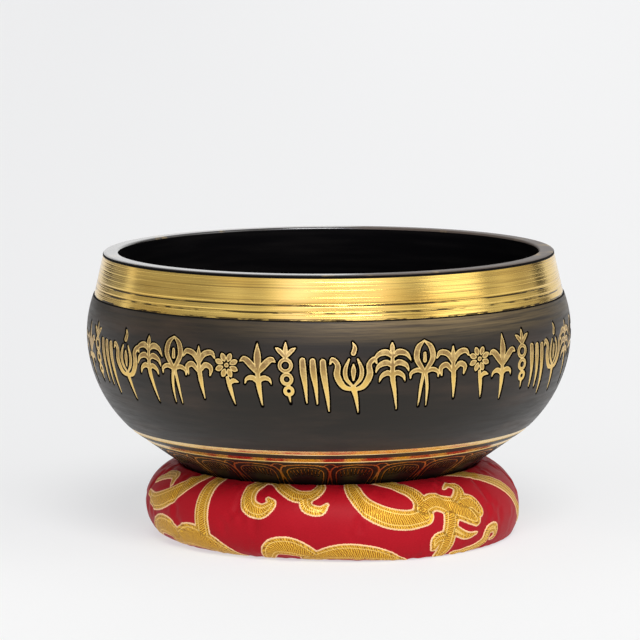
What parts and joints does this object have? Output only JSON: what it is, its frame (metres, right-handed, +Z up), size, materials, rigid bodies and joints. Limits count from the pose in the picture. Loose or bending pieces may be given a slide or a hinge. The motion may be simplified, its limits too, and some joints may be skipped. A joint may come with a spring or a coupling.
{
  "type": "singing bowl",
  "caption": "Deep round metal bowl with a plain bright band under its thick flat rim, resting on a stuffed ring cushion of brocade; the bowl lifts off.",
  "frame": {"origin": "on the bowl's axis, on the surface that the cushion rests on", "axes": "+Z up along the bowl's axis; the cushion's end seam is at +Y, the back; +X to the right"},
  "size_m": [0.175, 0.175, 0.1028],
  "materials": {
    "bowl_metal": "brown-black lacquer over turned brass, engraved in gold, with a bare turned band under the rim",
    "cover_cloth": "red satin brocade with a gold scroll pattern",
    "wadding": "loose cotton wadding",
    "sewing_thread": "spun sewing thread"
  },
  "bodies": {
    "cushion": {"cushion_cover": "cover_cloth", "cushion_filling": "wadding", "closing_seam_thread": "sewing_thread", "end_seam_thread": "sewing_thread"},
    "bowl": {"bowl": "bowl_metal"}
  },
  "joints": [
    {"name": "bowl_lift", "type": "slide", "parent": "cushion", "child": "bowl", "axis": [0, 0, 1], "range_m": [0, 0.07]}
  ]
}
